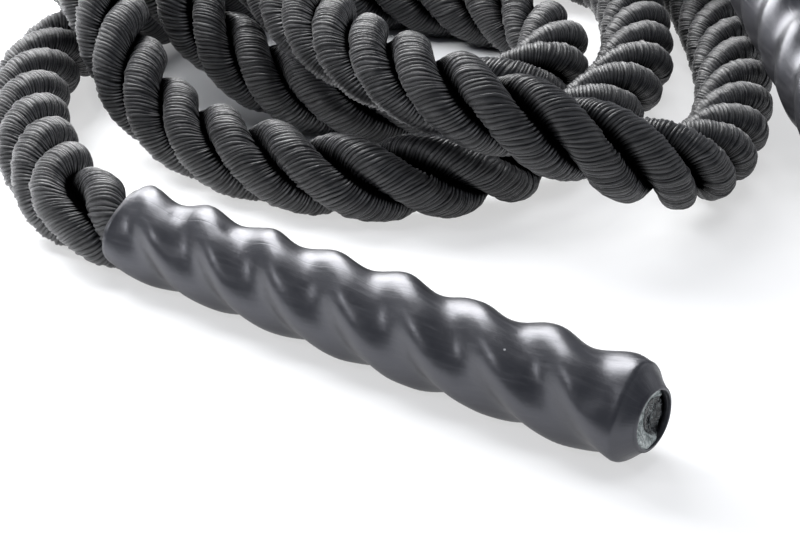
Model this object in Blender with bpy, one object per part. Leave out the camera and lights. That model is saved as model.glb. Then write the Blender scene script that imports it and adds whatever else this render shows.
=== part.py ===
"""A heavy jump rope: a thick three-strand rope with a shrunk sleeve on each end as its handle.

Metres, +Z up. The origin lies on the floor under the middle of the two handles.
Each handle is built along its own +X axis, from the sleeve's mouth to its free end,
and is then laid in place behind two axes on which the rope flexes.
"""
import math

import bmesh
import bpy
import numpy as np
from mathutils import Euler, Matrix, Vector

# The rope: loose between the handles, pressed together inside the sleeves.
ROPE_DIAMETER = 0.0306
ROPE_LAY = 0.080
STRAND_COUNT = 3
STRAND_DEPTH = 0.0112
STRAND_BREADTH = 0.0132
STRAND_CLEARANCE = 0.0007
STRAND_SIDES = 8
JOIN_GAP = 0.0003

# The sleeve: a wall drawn over the strands, with a lobe over each of them.
SLEEVE_LENGTH = 0.199
SLEEVE_RADIUS = 0.0140
SLEEVE_WALL = 0.0011
LOBE_HEIGHT = 0.0013
LOBE_SIDES = 6
RING_STEP = 0.005

# The free end of the sleeve curls in over the cut rope and leaves a hole.
CURL_LENGTH = 0.0060
CURL_HOLE_RADIUS = 0.0084
CURL_RIM_WIDTH = 0.0021
CURL_WALL = 0.0013
CURL_STEPS = 4
CURL_BOW_SHARE = 0.3

# The glue that seals the cut rope shows in the hole, set back from the rim.
SEAL_RECESS = 0.0030
SEAL_THICKNESS = 0.0042
SEAL_BEVEL = 0.0018
SEAL_CLEARANCE = 0.0009
SEAL_SIDES = 24

# Where the rope flexes: a neck beside each sleeve, then a lead, then the loops.
NECK_LENGTH = 0.048
FRONT_LEAD_LENGTH = 0.084
REAR_LEAD_LENGTH = 0.100
NECK_PIVOT_SHARE = 0.45
STRAIGHT_SHARE = 1 / 3
LOOP_POINTS = 24
LONGEST_STEP = 0.060
LEAD_SIDE_STEPS = 2
COIL_SIDE_STEPS = 1
CURVE_STEPS = 12
LEAST_GAP = 0.0004

# How the handles lie. The rear one leans from the loops down to the floor.
FRONT_HEADING = math.radians(0.0)
FRONT_TILT = math.radians(0.0)
REAR_HEADING = math.radians(-45.5)
REAR_TILT = math.radians(10.45)
FRONT_PHASE = math.radians(53.0)
REAR_PHASE = math.radians(17.0)

# The way the rope lies, from the mouth of the front sleeve to the mouth of the rear one.
ROUTE = (
    (-0.1050, -0.1417, 0.0153),
    (-0.1555, -0.1308, 0.0154), (-0.1770, -0.1192, 0.0154), (-0.2035, -0.1012, 0.0154),
    (-0.2275, -0.0806, 0.0154), (-0.2493, -0.0554, 0.0154), (-0.2632, -0.0296, 0.0154),
    (-0.2702, -0.0017, 0.0154), (-0.2712, 0.0262, 0.0154), (-0.2662, 0.0530, 0.0154),
    (-0.2533, 0.0769, 0.0154), (-0.2324, 0.0968, 0.0154), (-0.2065, 0.1098, 0.0154),
    (-0.1783, 0.1172, 0.0154), (-0.1515, 0.1193, 0.0154), (-0.1259, 0.1123, 0.0154),
    (-0.1028, 0.0948, 0.0154), (-0.0905, 0.0714, 0.0154), (-0.0876, 0.0454, 0.0154),
    (-0.0960, 0.0232, 0.0154), (-0.1119, 0.0043, 0.0154), (-0.1338, -0.0067, 0.0154),
    (-0.1580, -0.0104, 0.0171), (-0.1800, -0.0123, 0.0239), (-0.2007, -0.0112, 0.0338),
    (-0.2200, -0.0063, 0.0436), (-0.2415, 0.0057, 0.0474), (-0.2639, 0.0197, 0.0480),
    (-0.2875, 0.0375, 0.0447), (-0.3087, 0.0582, 0.0359), (-0.3217, 0.0817, 0.0250),
    (-0.3257, 0.1096, 0.0163), (-0.3200, 0.1356, 0.0154), (-0.3050, 0.1585, 0.0154),
    (-0.2831, 0.1754, 0.0154), (-0.2563, 0.1854, 0.0154), (-0.2274, 0.1914, 0.0154),
    (-0.1985, 0.1973, 0.0154), (-0.1707, 0.2013, 0.0154), (-0.1455, 0.1948, 0.0154),
    (-0.1239, 0.1786, 0.0154), (-0.1047, 0.1570, 0.0154), (-0.0872, 0.1329, 0.0154),
    (-0.0707, 0.1075, 0.0154), (-0.0586, 0.0814, 0.0154), (-0.0512, 0.0570, 0.0154),
    (-0.0453, 0.0331, 0.0154), (-0.0433, 0.0092, 0.0154), (-0.0453, -0.0146, 0.0154),
    (-0.0522, -0.0365, 0.0154), (-0.0652, -0.0545, 0.0154), (-0.0851, -0.0664, 0.0154),
    (-0.1090, -0.0714, 0.0154), (-0.1338, -0.0724, 0.0154), (-0.1574, -0.0697, 0.0174),
    (-0.1791, -0.0659, 0.0239), (-0.1980, -0.0580, 0.0338), (-0.2163, -0.0470, 0.0425),
    (-0.2383, -0.0359, 0.0474), (-0.2627, -0.0224, 0.0485), (-0.2873, -0.0066, 0.0469),
    (-0.3137, 0.0129, 0.0403), (-0.3361, 0.0379, 0.0305), (-0.3515, 0.0658, 0.0206),
    (-0.3598, 0.0938, 0.0154), (-0.3598, 0.1217, 0.0154), (-0.3528, 0.1486, 0.0154),
    (-0.3389, 0.1725, 0.0154), (-0.3190, 0.1924, 0.0154), (-0.2941, 0.2073, 0.0154),
    (-0.2662, 0.2172, 0.0154), (-0.2373, 0.2242, 0.0154), (-0.2085, 0.2302, 0.0154),
    (-0.1796, 0.2342, 0.0154), (-0.1508, 0.2332, 0.0154), (-0.1239, 0.2212, 0.0154),
    (-0.1010, 0.2023, 0.0154), (-0.0811, 0.1796, 0.0154), (-0.0618, 0.1564, 0.0154),
    (-0.0425, 0.1311, 0.0154), (-0.0225, 0.1025, 0.0154), (-0.0055, 0.0710, 0.0154),
    (0.0070, 0.0393, 0.0163), (0.0142, 0.0051, 0.0217), (0.0075, -0.0215, 0.0316),
    (-0.0107, -0.0400, 0.0420), (-0.0345, -0.0484, 0.0480), (-0.0620, -0.0461, 0.0491),
    (-0.0900, -0.0390, 0.0491), (-0.1162, -0.0283, 0.0489), (-0.1389, -0.0175, 0.0493),
    (-0.1607, -0.0036, 0.0496), (-0.1841, 0.0120, 0.0492), (-0.2080, 0.0282, 0.0486),
    (-0.2415, 0.0548, 0.0486), (-0.2625, 0.0723, 0.0488), (-0.2770, 0.0938, 0.0442),
    (-0.2810, 0.1163, 0.0348), (-0.2745, 0.1373, 0.0238), (-0.2555, 0.1521, 0.0168),
    (-0.2294, 0.1580, 0.0156), (-0.2030, 0.1624, 0.0196), (-0.1785, 0.1718, 0.0305),
    (-0.1565, 0.1813, 0.0425), (-0.1350, 0.1883, 0.0512), (-0.1110, 0.1903, 0.0562),
    (-0.0846, 0.1829, 0.0573), (-0.0399, 0.1466, 0.0496),
)


def material(name, colour, roughness, metallic):
    """A plain Principled material with the part's own colour."""
    made = bpy.data.materials.new(name)
    made.use_nodes = True
    shader = made.node_tree.nodes["Principled BSDF"]
    shader.inputs["Base Color"].default_value = (*colour, 1.0)
    shader.inputs["Roughness"].default_value = roughness
    shader.inputs["Metallic"].default_value = metallic
    made.diffuse_color = (*colour, 1.0)
    return made


def add_object(name, data, look):
    """Link an object that holds the data and wears the material."""
    made = bpy.data.objects.new(name, data)
    bpy.context.scene.collection.objects.link(made)
    data.materials.append(look)
    return made


def loft(name, rings, look, closed):
    """A skin over rings of points: closed round on itself, or capped at both ends."""
    shape = bmesh.new()
    loops = [[shape.verts.new(point) for point in ring] for ring in rings]
    pairs = list(zip(loops, loops[1:]))
    if closed:
        pairs.append((loops[-1], loops[0]))
    for first, second in pairs:
        count = len(first)
        for k in range(count):
            n = (k + 1) % count
            shape.faces.new((first[k], first[n], second[n], second[k]))
    if not closed:
        shape.faces.new(list(reversed(loops[0])))
        shape.faces.new(loops[-1])
    bmesh.ops.recalc_face_normals(shape, faces=shape.faces)
    data = bpy.data.meshes.new(name)
    shape.to_mesh(data)
    shape.free()
    data.shade_smooth()
    data.set_sharp_from_angle(angle=math.radians(50.0))
    return add_object(name, data, look)


def twist(x, phase):
    """How far the strands have turned round the handle's axis at x, right-handed."""
    return phase + 2.0 * math.pi * x / ROPE_LAY


def lobed_ring(x, radius, lobe, phase):
    """A ring round the axis at x, raised by a lobe over each strand."""
    count = STRAND_COUNT * LOBE_SIDES
    ring = []
    for k in range(count):
        around = 2.0 * math.pi * k / count
        r = radius + lobe * math.cos(STRAND_COUNT * around)
        angle = twist(x, phase) + around
        ring.append(Vector((x, r * math.cos(angle), r * math.sin(angle))))
    return ring


def stations(start, end):
    """Places along the handle at which rings stand, the same for sleeve and strands."""
    count = max(2, round(SLEEVE_LENGTH / RING_STEP))
    places = [SLEEVE_LENGTH * k / count for k in range(count + 1)]
    inner = [x for x in places if start + RING_STEP / 2 < x < end - RING_STEP / 2]
    return [start, *inner, end]


def curl_profile(outer):
    """Ring places and sizes down the curled end, from the shoulder to the rim.

    A bow of 0 makes the end a plain cone, and a bow of 1 a full round.
    """
    wall = 0.0 if outer else CURL_WALL
    shoulder = SLEEVE_RADIUS - (0.0 if outer else SLEEVE_WALL)
    tip = CURL_HOLE_RADIUS + CURL_RIM_WIDTH - wall
    start, end = SLEEVE_LENGTH - CURL_LENGTH, SLEEVE_LENGTH - wall
    profile = []
    for k in range(1, CURL_STEPS + 1):
        share = k / CURL_STEPS
        turn = math.pi / 2 * share
        along = share + CURL_BOW_SHARE * (math.sin(turn) - share)
        inward = share + CURL_BOW_SHARE * (1.0 - math.cos(turn) - share)
        x = start + (end - start) * along
        radius = shoulder - (shoulder - tip) * inward
        profile.append((x, radius, LOBE_HEIGHT * (1.0 - inward)))
    return profile


def sleeve(name, phase, look):
    """The shrunk sleeve: outer skin, curled end, hole, inner skin and mouth."""
    body = stations(0.0, SLEEVE_LENGTH - CURL_LENGTH)
    inner_radius = SLEEVE_RADIUS - SLEEVE_WALL
    rings = [lobed_ring(x, SLEEVE_RADIUS, LOBE_HEIGHT, phase) for x in body]
    rings += [lobed_ring(x, r, lobe, phase) for x, r, lobe in curl_profile(True)]
    rings.append(lobed_ring(SLEEVE_LENGTH, CURL_HOLE_RADIUS, 0.0, phase))
    inside = curl_profile(False)
    rings.append(lobed_ring(inside[-1][0], CURL_HOLE_RADIUS, 0.0, phase))
    rings += [lobed_ring(x, r, lobe, phase) for x, r, lobe in reversed(inside)]
    rings += [lobed_ring(x, inner_radius, LOBE_HEIGHT, phase) for x in reversed(body)]
    return loft(name, rings, look, True)


def strand(name, number, phase, look):
    """One strand of the rope under its lobe of the sleeve, cut square at both ends."""
    end = SLEEVE_LENGTH - SEAL_RECESS - SEAL_THICKNESS - JOIN_GAP
    offset = SLEEVE_RADIUS + LOBE_HEIGHT - SLEEVE_WALL - STRAND_CLEARANCE - STRAND_DEPTH / 2
    rings = []
    for x in stations(0.0, end):
        angle = twist(x, phase) + 2.0 * math.pi * number / STRAND_COUNT
        out = Vector((0.0, math.cos(angle), math.sin(angle)))
        side = Vector((0.0, -math.sin(angle), math.cos(angle)))
        middle = Vector((x, 0.0, 0.0)) + offset * out
        ring = []
        for k in range(STRAND_SIDES):
            around = 2.0 * math.pi * k / STRAND_SIDES
            depth = STRAND_DEPTH / 2 * math.cos(around)
            breadth = STRAND_BREADTH / 2 * math.sin(around)
            ring.append(middle + depth * out + breadth * side)
        rings.append(ring)
    return loft(name, rings, look, False)


def end_seal(name, look):
    """The disc of glue over the cut strands, with a bevelled front edge."""
    wide = SLEEVE_RADIUS - LOBE_HEIGHT - SLEEVE_WALL - SEAL_CLEARANCE
    back = SLEEVE_LENGTH - SEAL_RECESS - SEAL_THICKNESS
    front = SLEEVE_LENGTH - SEAL_RECESS
    rings = []
    for x, radius in (
        (back, wide),
        (front - SEAL_BEVEL, wide),
        (front, wide - SEAL_BEVEL),
    ):
        angles = [2.0 * math.pi * k / SEAL_SIDES for k in range(SEAL_SIDES)]
        rings.append([Vector((x, radius * math.cos(a), radius * math.sin(a))) for a in angles])
    return loft(name, rings, look, False)


def smooth_curve(points):
    """A centripetal curve through the route's points, as closely spaced points."""
    ends = (2 * points[0] - points[1], 2 * points[-1] - points[-2])
    p = np.vstack([ends[0], points, ends[1]])
    t = np.concatenate([[0.0], np.cumsum(np.linalg.norm(np.diff(p, axis=0), axis=1) ** 0.5)])

    def between(a, b, i, j, s):
        return ((t[j] - s) * a + (s - t[i]) * b) / (t[j] - t[i])

    found = []
    for i in range(1, len(p) - 2):
        for s in np.linspace(t[i], t[i + 1], CURVE_STEPS, endpoint=False):
            a = between(p[i - 1], p[i], i - 1, i, s)
            b = between(p[i], p[i + 1], i, i + 1, s)
            c = between(p[i + 1], p[i + 2], i + 1, i + 2, s)
            d = between(a, b, i - 1, i + 1, s)
            e = between(b, c, i, i + 2, s)
            found.append(between(d, e, i, i + 1, s))
    found.append(points[-1])
    return np.array(found)


def along_handle(heading, tilt):
    """The way from a handle's mouth to its free end."""
    turn = Euler((0.0, tilt, heading), "XYZ").to_matrix()
    return np.array(turn @ Vector((1.0, 0.0, 0.0)))


def rope_points():
    """The route, with the rope straight for one diameter behind each sleeve."""
    route = [np.array(point) for point in ROUTE]
    front = route[0] - ROPE_DIAMETER * along_handle(FRONT_HEADING, FRONT_TILT)
    rear = route[-1] - ROPE_DIAMETER * along_handle(REAR_HEADING, REAR_TILT)
    return np.array([route[0], front, *route[1:-1], rear, route[-1]])


class Way:
    """The rope's centre line, read by the distance along it."""

    def __init__(self, points):
        self.points = smooth_curve(points)
        steps = np.linalg.norm(np.diff(self.points, axis=0), axis=1)
        self.along = np.concatenate([[0.0], np.cumsum(steps)])
        self.length = float(self.along[-1])

    def at(self, place):
        """The point at this distance."""
        return np.array([np.interp(place, self.along, axis) for axis in self.points.T])

    def heading(self, place):
        """The way that the rope points at this distance."""
        reach = ROPE_DIAMETER / CURVE_STEPS
        ahead = self.at(min(place + reach, self.length)) - self.at(max(place - reach, 0.0))
        return ahead / np.linalg.norm(ahead)

    def stretch(self, start, end):
        """Points of a tube from start to end: a loop has LOOP_POINTS of them.

        Both ends run straight, square to what they meet: for one rope diameter, or for
        their share of a short stretch.
        """
        straight = min(ROPE_DIAMETER, STRAIGHT_SHARE * (end - start))
        first, last = start + straight, end - straight
        middle = [self.at(first + (last - first) * share) for share in self.paces(first, last)]
        return [
            self.at(start),
            self.at(start) + straight * self.heading(start),
            *middle,
            self.at(end) - straight * self.heading(end),
            self.at(end),
        ]

    def paces(self, first, last):
        """Shares of the way at which points stand, closer together where it bends."""
        places = np.linspace(first, last, max(3, int((last - first) / ROPE_DIAMETER * CURVE_STEPS)))
        ways = np.array([self.heading(place) for place in places])
        turns = np.arccos(np.clip((ways[1:] * ways[:-1]).sum(axis=1), -1.0, 1.0))
        pace = turns * LOOP_POINTS / (2.0 * math.pi) + np.diff(places) / LONGEST_STEP
        total = np.concatenate([[0.0], np.cumsum(pace)])
        count = max(1, math.ceil(total[-1]))
        marks = [total[-1] * k / count for k in range(1, count)]
        return [(np.interp(mark, total, places) - first) / (last - first) for mark in marks]


def tube(name, points, side_steps, look):
    """A closed round tube along the points."""
    curve = bpy.data.curves.new(name, "CURVE")
    curve.dimensions = "3D"
    curve.bevel_depth = ROPE_DIAMETER / 2
    curve.bevel_resolution = side_steps
    curve.use_fill_caps = True
    spline = curve.splines.new("POLY")
    spline.points.add(len(points) - 1)
    for place, point in zip(spline.points, points):
        place.co = (*point, 1.0)
    return add_object(name, curve, look)


def least_gap(points):
    """The least distance between the tube's skin and itself, away from each point."""
    p = np.array(points)
    steps = np.linalg.norm(np.diff(p, axis=0), axis=1)
    along = np.concatenate([[0.0], np.cumsum(steps)])
    least = math.inf
    for k in range(len(p) - 1):
        way = p[k + 1] - p[k]
        share = np.clip(((p - p[k]) @ way) / (way @ way), 0.0, 1.0)
        away = np.linalg.norm(p - (p[k] + share[:, None] * way), axis=1)
        far = np.abs(along - (along[k] + along[k + 1]) / 2) > math.pi * ROPE_DIAMETER
        if far.any():
            least = min(least, float(away[far].min()))
    return least - ROPE_DIAMETER


def axis_empty(name, place, heading, parent):
    """An empty on a joint's axis, turned to the handle's heading."""
    made = bpy.data.objects.new(name, None)
    bpy.context.scene.collection.objects.link(made)
    made.matrix_world = Matrix.Translation(place) @ Matrix.Rotation(heading, 4, "Z")
    keep_place(made, parent)
    return made


def keep_place(made, parent):
    """Parent an object without moving it."""
    if parent is not None:
        bpy.context.view_layer.update()
        made.parent = parent
        made.matrix_parent_inverse = parent.matrix_world.inverted()


def lay_handle(pieces, mouth, heading, tilt, parent):
    """Put a handle's pieces behind its mouth and hang them on the lifting axis."""
    turn = Euler((0.0, tilt, heading), "XYZ").to_matrix().to_4x4()
    for piece in pieces:
        piece.matrix_world = Matrix.Translation(mouth) @ turn
        keep_place(piece, parent)


def handle(side, phase, looks):
    """The pieces of one handle, along its own axis."""
    pieces = [sleeve(side + "_sleeve", phase, looks["sleeve"])]
    for number in range(STRAND_COUNT):
        name = "{}_strand_{}".format(side, number + 1)
        pieces.append(strand(name, number, phase, looks["rope"]))
    pieces.append(end_seal(side + "_end_seal", looks["glue"]))
    return pieces


def main():
    """Build the whole jump rope."""
    for old in list(bpy.data.objects):
        bpy.data.objects.remove(old, do_unlink=True)
    looks = {
        "sleeve": material("shrunk_sleeve", (0.018, 0.018, 0.021), 0.38, 0.0),
        "rope": material("black_yarn", (0.014, 0.014, 0.016), 0.75, 0.0),
        "glue": material("clear_glue", (0.24, 0.27, 0.26), 0.30, 0.0),
    }
    way = Way(rope_points())
    end = way.length
    front_neck, rear_neck = NECK_LENGTH, end - NECK_LENGTH
    front_lead, rear_lead = front_neck + FRONT_LEAD_LENGTH, rear_neck - REAR_LEAD_LENGTH
    pivot = NECK_LENGTH * (1.0 - NECK_PIVOT_SHARE)

    front_swing = axis_empty("front_swing_axis", Vector(way.at(front_neck)), FRONT_HEADING, None)
    front_lift = axis_empty("front_lift_axis", Vector(way.at(pivot)), FRONT_HEADING, front_swing)
    rear_swing = axis_empty("rear_swing_axis", Vector(way.at(rear_neck)), REAR_HEADING, None)
    rear_lift = axis_empty("rear_lift_axis", Vector(way.at(end - pivot)), REAR_HEADING, rear_swing)

    front = handle("front", FRONT_PHASE, looks)
    rear = handle("rear", REAR_PHASE, looks)
    lay_handle(front, Vector(way.at(0.0)), FRONT_HEADING, FRONT_TILT, front_lift)
    lay_handle(rear, Vector(way.at(end)), REAR_HEADING, REAR_TILT, rear_lift)

    rope = looks["rope"]
    neck = tube("front_neck", way.stretch(JOIN_GAP, front_neck - JOIN_GAP / 2), LEAD_SIDE_STEPS, rope)
    keep_place(neck, front_swing)
    tube(
        "front_lead",
        way.stretch(front_neck + JOIN_GAP / 2, front_lead - JOIN_GAP / 2),
        LEAD_SIDE_STEPS,
        rope,
    )
    loops = way.stretch(front_lead + JOIN_GAP / 2, rear_lead - JOIN_GAP / 2)
    tube("rope_loops", loops, COIL_SIDE_STEPS, rope)
    tube(
        "rear_lead",
        way.stretch(rear_lead + JOIN_GAP / 2, rear_neck - JOIN_GAP / 2),
        LEAD_SIDE_STEPS,
        rope,
    )
    neck = tube("rear_neck", way.stretch(rear_neck + JOIN_GAP / 2, end - JOIN_GAP), LEAD_SIDE_STEPS, rope)
    keep_place(neck, rear_swing)

    gap = least_gap(loops)
    print("rope between the handles: {:.3f} m".format(end))
    print("least gap of the loops to themselves: {:.2f} mm, {} points".format(gap * 1e3, len(loops)))
    if gap < LEAST_GAP:
        print("the loops come too close to themselves")
    bpy.context.view_layer.update()


main()
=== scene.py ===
"""The look of a heavy jump rope: thick three-strand rope in loose loops on a pale floor,
with a long black sleeve shrunk over each end as its handle.

Metres, +Z up, in the frame of the solid model. The camera comes first, then the rope,
the sleeves, the glue in their ends, the finishes, the floor and the light.
"""
import math

import bmesh
import bpy
import numpy as np
from mathutils import Euler, Matrix, Vector, noise


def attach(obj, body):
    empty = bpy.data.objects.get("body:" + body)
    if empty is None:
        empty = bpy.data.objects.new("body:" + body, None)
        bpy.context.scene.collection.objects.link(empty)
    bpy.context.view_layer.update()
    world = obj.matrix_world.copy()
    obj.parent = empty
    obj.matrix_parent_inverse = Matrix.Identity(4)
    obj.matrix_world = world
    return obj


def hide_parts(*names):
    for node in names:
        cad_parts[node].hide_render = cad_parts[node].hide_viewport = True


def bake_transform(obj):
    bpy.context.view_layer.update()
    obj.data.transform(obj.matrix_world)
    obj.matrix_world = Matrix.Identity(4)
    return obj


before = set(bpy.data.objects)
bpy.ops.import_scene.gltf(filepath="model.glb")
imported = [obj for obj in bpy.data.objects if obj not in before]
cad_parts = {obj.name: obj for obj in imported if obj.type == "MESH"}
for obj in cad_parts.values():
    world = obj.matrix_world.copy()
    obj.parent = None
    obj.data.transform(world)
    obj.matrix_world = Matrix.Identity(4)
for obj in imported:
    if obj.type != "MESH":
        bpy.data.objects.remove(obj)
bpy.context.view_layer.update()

# The rope, as in the solid model.
ROPE_DIAMETER = 0.0306
ROPE_LAY = 0.080
STRAND_COUNT = 3
NECK_LENGTH = 0.048
CURVE_STEPS = 12

# The handles, as in the solid model.
SLEEVE_LENGTH = 0.199
SLEEVE_RADIUS = 0.0140
SLEEVE_WALL = 0.0011
LOBE_HEIGHT = 0.0013
CURL_LENGTH = 0.0060
CURL_HOLE_RADIUS = 0.0084
SEAL_RECESS = 0.0030
FRONT_HEADING = math.radians(0.0)
FRONT_TILT = math.radians(0.0)
REAR_HEADING = math.radians(-45.5)
REAR_TILT = math.radians(10.45)
FRONT_PHASE = math.radians(53.0)
REAR_PHASE = math.radians(17.0)

# The way the rope lies, from the mouth of the front sleeve to the mouth of the rear one.
ROUTE = (
    (-0.1050, -0.1417, 0.0153),
    (-0.1555, -0.1308, 0.0154), (-0.1770, -0.1192, 0.0154), (-0.2035, -0.1012, 0.0154),
    (-0.2275, -0.0806, 0.0154), (-0.2493, -0.0554, 0.0154), (-0.2632, -0.0296, 0.0154),
    (-0.2702, -0.0017, 0.0154), (-0.2712, 0.0262, 0.0154), (-0.2662, 0.0530, 0.0154),
    (-0.2533, 0.0769, 0.0154), (-0.2324, 0.0968, 0.0154), (-0.2065, 0.1098, 0.0154),
    (-0.1783, 0.1172, 0.0154), (-0.1515, 0.1193, 0.0154), (-0.1259, 0.1123, 0.0154),
    (-0.1028, 0.0948, 0.0154), (-0.0905, 0.0714, 0.0154), (-0.0876, 0.0454, 0.0154),
    (-0.0960, 0.0232, 0.0154), (-0.1119, 0.0043, 0.0154), (-0.1338, -0.0067, 0.0154),
    (-0.1580, -0.0104, 0.0171), (-0.1800, -0.0123, 0.0239), (-0.2007, -0.0112, 0.0338),
    (-0.2200, -0.0063, 0.0436), (-0.2415, 0.0057, 0.0474), (-0.2639, 0.0197, 0.0480),
    (-0.2875, 0.0375, 0.0447), (-0.3087, 0.0582, 0.0359), (-0.3217, 0.0817, 0.0250),
    (-0.3257, 0.1096, 0.0163), (-0.3200, 0.1356, 0.0154), (-0.3050, 0.1585, 0.0154),
    (-0.2831, 0.1754, 0.0154), (-0.2563, 0.1854, 0.0154), (-0.2274, 0.1914, 0.0154),
    (-0.1985, 0.1973, 0.0154), (-0.1707, 0.2013, 0.0154), (-0.1455, 0.1948, 0.0154),
    (-0.1239, 0.1786, 0.0154), (-0.1047, 0.1570, 0.0154), (-0.0872, 0.1329, 0.0154),
    (-0.0707, 0.1075, 0.0154), (-0.0586, 0.0814, 0.0154), (-0.0512, 0.0570, 0.0154),
    (-0.0453, 0.0331, 0.0154), (-0.0433, 0.0092, 0.0154), (-0.0453, -0.0146, 0.0154),
    (-0.0522, -0.0365, 0.0154), (-0.0652, -0.0545, 0.0154), (-0.0851, -0.0664, 0.0154),
    (-0.1090, -0.0714, 0.0154), (-0.1338, -0.0724, 0.0154), (-0.1574, -0.0697, 0.0174),
    (-0.1791, -0.0659, 0.0239), (-0.1980, -0.0580, 0.0338), (-0.2163, -0.0470, 0.0425),
    (-0.2383, -0.0359, 0.0474), (-0.2627, -0.0224, 0.0485), (-0.2873, -0.0066, 0.0469),
    (-0.3137, 0.0129, 0.0403), (-0.3361, 0.0379, 0.0305), (-0.3515, 0.0658, 0.0206),
    (-0.3598, 0.0938, 0.0154), (-0.3598, 0.1217, 0.0154), (-0.3528, 0.1486, 0.0154),
    (-0.3389, 0.1725, 0.0154), (-0.3190, 0.1924, 0.0154), (-0.2941, 0.2073, 0.0154),
    (-0.2662, 0.2172, 0.0154), (-0.2373, 0.2242, 0.0154), (-0.2085, 0.2302, 0.0154),
    (-0.1796, 0.2342, 0.0154), (-0.1508, 0.2332, 0.0154), (-0.1239, 0.2212, 0.0154),
    (-0.1010, 0.2023, 0.0154), (-0.0811, 0.1796, 0.0154), (-0.0618, 0.1564, 0.0154),
    (-0.0425, 0.1311, 0.0154), (-0.0225, 0.1025, 0.0154), (-0.0055, 0.0710, 0.0154),
    (0.0070, 0.0393, 0.0163), (0.0142, 0.0051, 0.0217), (0.0075, -0.0215, 0.0316),
    (-0.0107, -0.0400, 0.0420), (-0.0345, -0.0484, 0.0480), (-0.0620, -0.0461, 0.0491),
    (-0.0900, -0.0390, 0.0491), (-0.1162, -0.0283, 0.0489), (-0.1389, -0.0175, 0.0493),
    (-0.1607, -0.0036, 0.0496), (-0.1841, 0.0120, 0.0492), (-0.2080, 0.0282, 0.0486),
    (-0.2415, 0.0548, 0.0486), (-0.2625, 0.0723, 0.0488), (-0.2770, 0.0938, 0.0442),
    (-0.2810, 0.1163, 0.0348), (-0.2745, 0.1373, 0.0238), (-0.2555, 0.1521, 0.0168),
    (-0.2294, 0.1580, 0.0156), (-0.2030, 0.1624, 0.0196), (-0.1785, 0.1718, 0.0305),
    (-0.1565, 0.1813, 0.0425), (-0.1350, 0.1883, 0.0512), (-0.1110, 0.1903, 0.0562),
    (-0.0846, 0.1829, 0.0573), (-0.0399, 0.1466, 0.0496),
)

# Small dents in the sleeves: place from the mouth, turn, length, width and depth.
SLEEVE_DENTS = (
    (0.0450, 100.0, 0.0030, 0.0018, 0.0007), (0.0225, 106.0, 0.0012, 0.0020, 0.0004),
    (0.0250, 104.0, 0.0010, 0.0022, 0.0004), (0.0275, 102.0, 0.0010, 0.0020, 0.0004),
    (0.0330, 128.0, 0.0040, 0.0030, 0.0003), (0.0900, 118.0, 0.0050, 0.0040, 0.0003),
    (0.1350, 140.0, 0.0060, 0.0045, 0.0005), (0.1620, 122.0, 0.0060, 0.0050, 0.0004),
    (0.1850, 150.0, 0.0035, 0.0040, 0.0008),
)

# Painted shade: the floor is toned darker under the middle of the pile, and fades to its own tone
# between these two distances from it.
PILE_MIDDLE = (-0.178, 0.048, 0.0)
PILE_SHADE_REACH = (0.078, 0.108)
PILE_PAINTED_SHADE = (0.42, 0.425, 0.435, 1.0)

# The white floor and the room: their tone, their glow, and what reflections lose of it.
FLOOR_SIZE = 6.0
FLOOR_TONE = (0.86, 0.87, 0.89, 1.0)
FLOOR_GLOW = 1.08
FLOOR_GLOW_LOSS = 0.1
FLOOR_GLOW_SHARE = 0.54
ROOM_TONE = (0.80, 0.86, 1.0, 1.0)
ROOM_LIGHT = 0.29
ROOM_LIGHT_LOSS = 0.08
WHITE = (1.0, 1.0, 1.0, 1.0)

# The camera, fitted to the photograph by the front sleeve.
CAMERA_PLACE = (0.3176, -0.5258, 0.2663)
CAMERA_TURN = (64.9, 0.0, 39.0)
CAMERA_LENS = 85.0
CAMERA_SENSOR = 36.0

# How far a sleeve's mouth has drawn back towards its free end, and how soon that fades.
MOUTH_DRAWN = 0.0016
MOUTH_DRAWN_REACH = 0.010

# How far from the mouth its edge is wavy and flared.
MOUTH_RAG_REACH = 0.0032

# How finely the sleeve is drawn: points round it and steps along it.
SLEEVE_SIDES = 96
SLEEVE_STEPS = 132

# Where the cut rope shows in the glue: its middle and its size in hole radii, and how deep it
# lies. Then how far the glue stands out past the plain disc of the solid model.
DISC_PLACE = (0.50, -0.14)
DISC_RADIUS = 0.66
DISC_DEPTH = 0.0009
GLUE_RISE = 0.0010
GLUE_DEPTH = 0.0036
GLUE_SIDES = 64
GLUE_LUMPS = 70

# The laid strands and the yarns twisted round each of them.
STRAND_OFFSET = 0.0088
STRAND_DEPTH = 0.0063
STRAND_CORE = 0.0082
STRAND_BREADTH = 0.0065
STRAND_FLATNESS = 0.90
STRAND_SWELL = 0.00016
YARN_COUNT = 12
YARN_SIDES = 3
YARN_TURN = 450.0
YARN_DEPTH = 0.00042
YARN_SPREAD = 0.00016
YARN_LUMP = 0.00013
YARN_WANDER = 0.09
YARN_DRIFT = 0.20
RING_STEP = 0.0006
MOUTH_REACH = 0.007
MOUTH_PRESS = 0.095
MOUTH_FADE = 0.007
MOUTH_TWIST = math.radians(25.0)
MOUTH_TWIST_PLACE = 0.014
MOUTH_TWIST_REACH = 0.012
LOOP_PIECES = 8
SMOOTH_REACH = 0.006
FINE_STEP = 0.001
BEND_REACH = 0.040
LEAD_REACH = 0.20


# ---------------------------------------------------------------- camera

def aim_camera():
    """The camera of the picture: low over the front handle, looking back over the loops."""
    data = bpy.data.cameras.new("camera")
    data.lens = CAMERA_LENS
    data.sensor_width = CAMERA_SENSOR
    data.clip_start = 0.01
    camera = bpy.data.objects.new("camera", data)
    bpy.context.scene.collection.objects.link(camera)
    camera.location = CAMERA_PLACE
    camera.rotation_euler = Euler([math.radians(turn) for turn in CAMERA_TURN], "XYZ")
    bpy.context.scene.camera = camera


# ---------------------------------------------------------------- rope

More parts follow.
